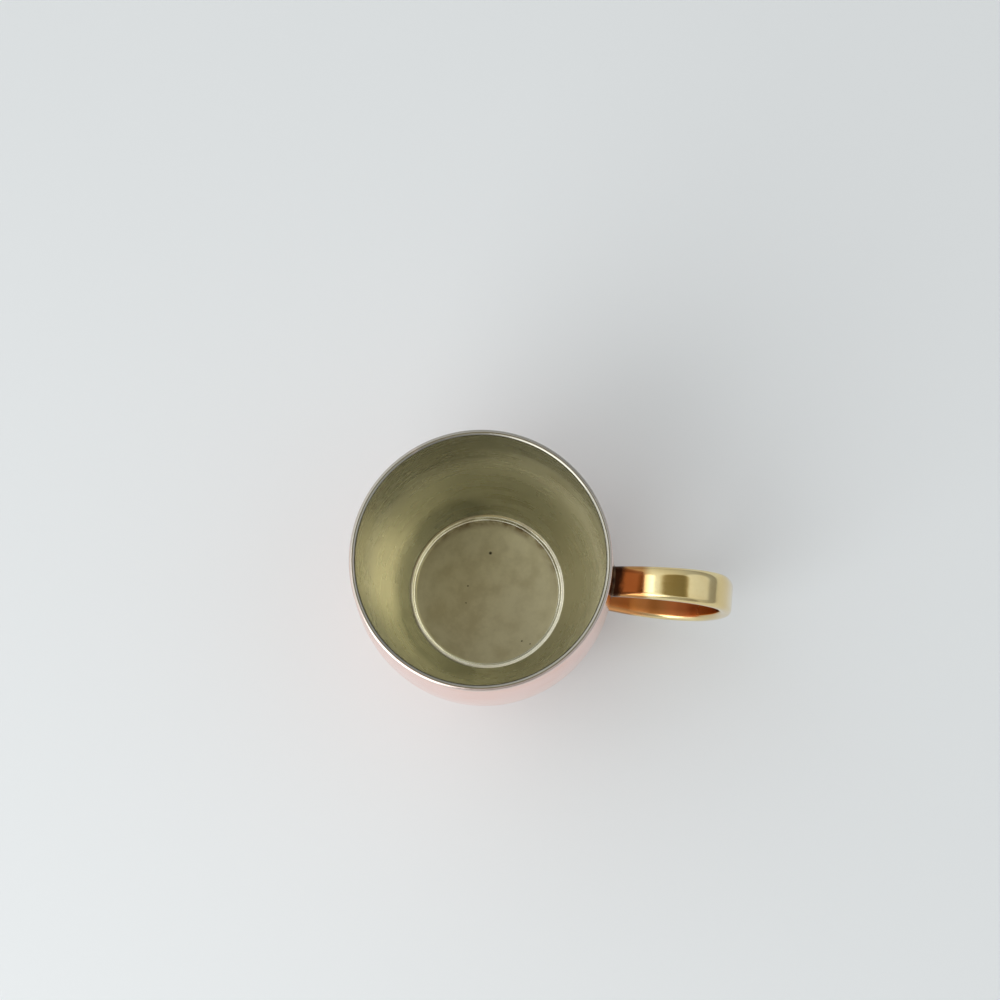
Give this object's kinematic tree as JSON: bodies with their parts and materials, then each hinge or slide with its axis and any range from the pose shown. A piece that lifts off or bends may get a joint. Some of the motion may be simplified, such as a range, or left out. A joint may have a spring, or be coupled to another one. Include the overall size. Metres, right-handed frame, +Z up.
{
  "type": "copper mug",
  "caption": "Barrel-shaped copper mug with a rolled rim, a stepped foot, a tinned inside and a brass strap handle.",
  "frame": {"origin": "centre of the foot, on the plane that the mug stands on", "axes": "+Z up along the cup's axis, +X from the cup's axis towards the handle"},
  "size_m": [0.1284, 0.0876, 0.095],
  "materials": {
    "copper": "polished copper",
    "solder": "bright solder, stained brown in places",
    "wall_tin": "satin tin with fine turning marks",
    "base_tin": "dull tin with small pits and brown stains",
    "brass": "polished",
    "braze": "dark oxidised braze"
  },
  "bodies": {
    "root": {"copper_body": "copper", "base_disc": "copper", "base_solder": "solder", "wall_lining": "wall_tin", "base_lining": "base_tin", "handle": "brass", "upper_braze": "braze", "lower_braze": "braze"}
  },
  "joints": []
}
